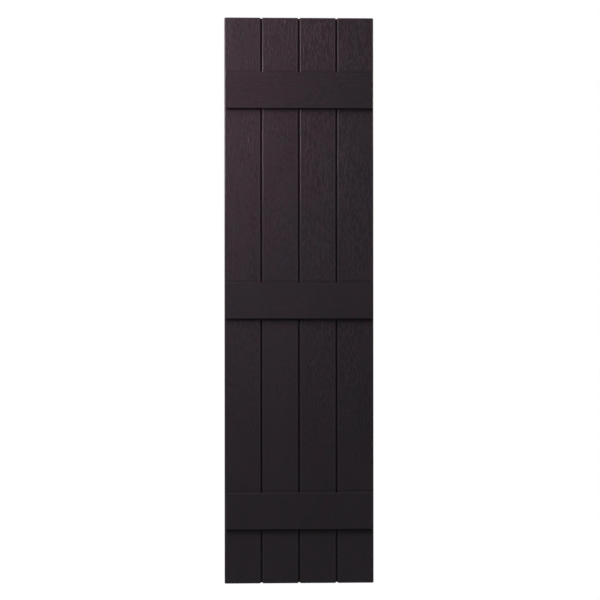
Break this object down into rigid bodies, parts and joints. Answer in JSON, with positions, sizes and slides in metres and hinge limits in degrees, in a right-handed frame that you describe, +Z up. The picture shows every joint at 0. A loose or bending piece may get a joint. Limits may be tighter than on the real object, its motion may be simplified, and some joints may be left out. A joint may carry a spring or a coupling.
{
  "type": "board and batten shutter",
  "caption": "Fixed exterior window shutter: upright lapped boards with ribbed open backs, tied by raised cross battens; fastens flat to a wall beside a window.",
  "frame": {"origin": "middle of the back, on the wall plane, on the lip between the two middle boards", "axes": "+X to the right as seen from the front, +Y from the front towards the wall, +Z up along the boards"},
  "size_m": [0.3682, 0.029, 1.397],
  "materials": {
    "shutter_plastic": "dark plum brown polypropylene, coloured through, with a moulded wood grain",
    "screw_steel": "zinc-plated steel"
  },
  "bodies": {
    "root": {"board_1": "shutter_plastic", "board_2": "shutter_plastic", "board_3": "shutter_plastic", "board_4": "shutter_plastic", "top_batten": "shutter_plastic", "middle_batten": "shutter_plastic", "bottom_batten": "shutter_plastic"}
  },
  "joints": []
}
